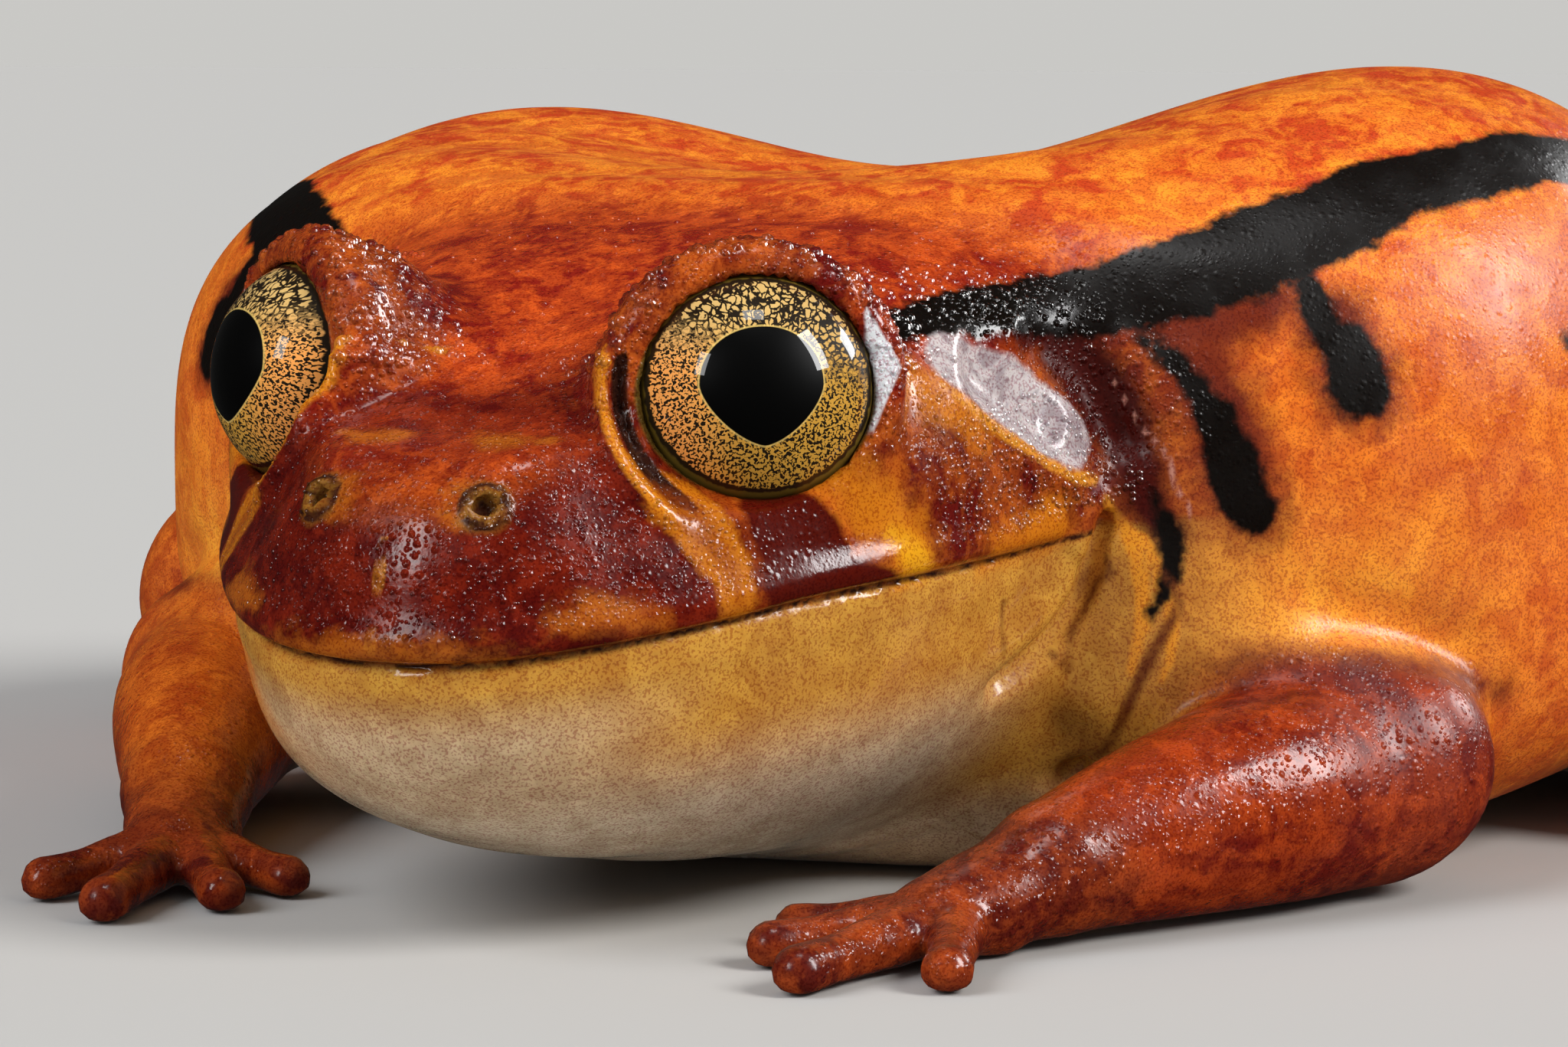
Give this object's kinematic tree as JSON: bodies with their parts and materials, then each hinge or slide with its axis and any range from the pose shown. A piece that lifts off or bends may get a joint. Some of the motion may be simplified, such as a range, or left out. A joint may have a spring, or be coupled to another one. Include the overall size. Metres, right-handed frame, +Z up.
{
  "type": "tomato frog",
  "caption": "Life-size still model of a plump tomato frog resting flat with its chin low, arms bent and hind legs folded at its sides.",
  "frame": {"origin": "centre of the bounding box's bottom face, on the floor the frog rests on", "axes": "+X to the frog's left, -Y the way its snout points, +Z up"},
  "size_m": [0.1058, 0.0852, 0.0332],
  "materials": {
    "skin_head": "wet skin, deep red mottled with orange, granular brows",
    "skin_back": "wet skin, red-orange back and orange flanks",
    "skin_limb": "wet skin, orange to red-brown",
    "skin_foot": "wet granular skin, red-brown",
    "eye": "polished gold iris round a black pupil"
  },
  "bodies": {
    "root": {"head": "skin_head", "eye_left": "eye", "eye_right": "eye", "torso": "skin_back", "upper_arm_left": "skin_limb", "upper_arm_right": "skin_limb", "forearm_left": "skin_limb", "forearm_right": "skin_limb", "hand_left": "skin_foot", "hand_right": "skin_foot", "thigh_left": "skin_limb", "thigh_right": "skin_limb", "shank_left": "skin_limb", "shank_right": "skin_limb", "foot_left": "skin_foot", "foot_right": "skin_foot"}
  },
  "joints": []
}
